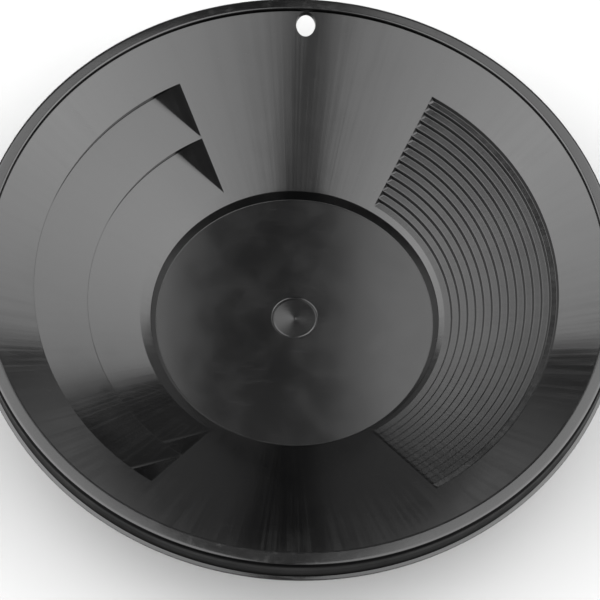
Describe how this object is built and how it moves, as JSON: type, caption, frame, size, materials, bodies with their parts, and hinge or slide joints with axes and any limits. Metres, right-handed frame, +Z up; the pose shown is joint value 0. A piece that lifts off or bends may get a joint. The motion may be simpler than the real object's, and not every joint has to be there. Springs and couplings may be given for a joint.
{
  "type": "gold pan",
  "caption": "Round plastic gold pan with a flat dropped floor, sloped wall, fine riffles on one side, coarse traps on the other, a rolled rim and a hanging hole.",
  "frame": {"origin": "centre of the flat base, on the surface it rests on", "axes": "+Z up along the pan's axis, +Y towards the hanging hole, +X towards the fine riffles"},
  "size_m": [0.3556, 0.3556, 0.0725],
  "materials": {
    "pan_plastic": "black injection moulding with a satin gloss, faint turning lines on the floor and light handling scuffs"
  },
  "bodies": {
    "root": {"gate_pad": "pan_plastic", "floor_disc": "pan_plastic", "drop_ring": "pan_plastic", "far_wall_panel": "pan_plastic", "near_wall_panel": "pan_plastic", "fine_riffle_panel": "pan_plastic", "coarse_trap_inner": "pan_plastic", "coarse_trap_outer": "pan_plastic", "upper_wall_band": "pan_plastic", "rim_bead_right": "pan_plastic", "rim_skirt_right": "pan_plastic", "rim_flange_right": "pan_plastic", "rim_bead_far": "pan_plastic", "rim_skirt_far": "pan_plastic", "rim_flange_far": "pan_plastic", "rim_bead_left": "pan_plastic", "rim_skirt_left": "pan_plastic", "rim_flange_left": "pan_plastic", "rim_bead_near": "pan_plastic", "rim_skirt_near": "pan_plastic", "rim_flange_near": "pan_plastic"}
  },
  "joints": []
}
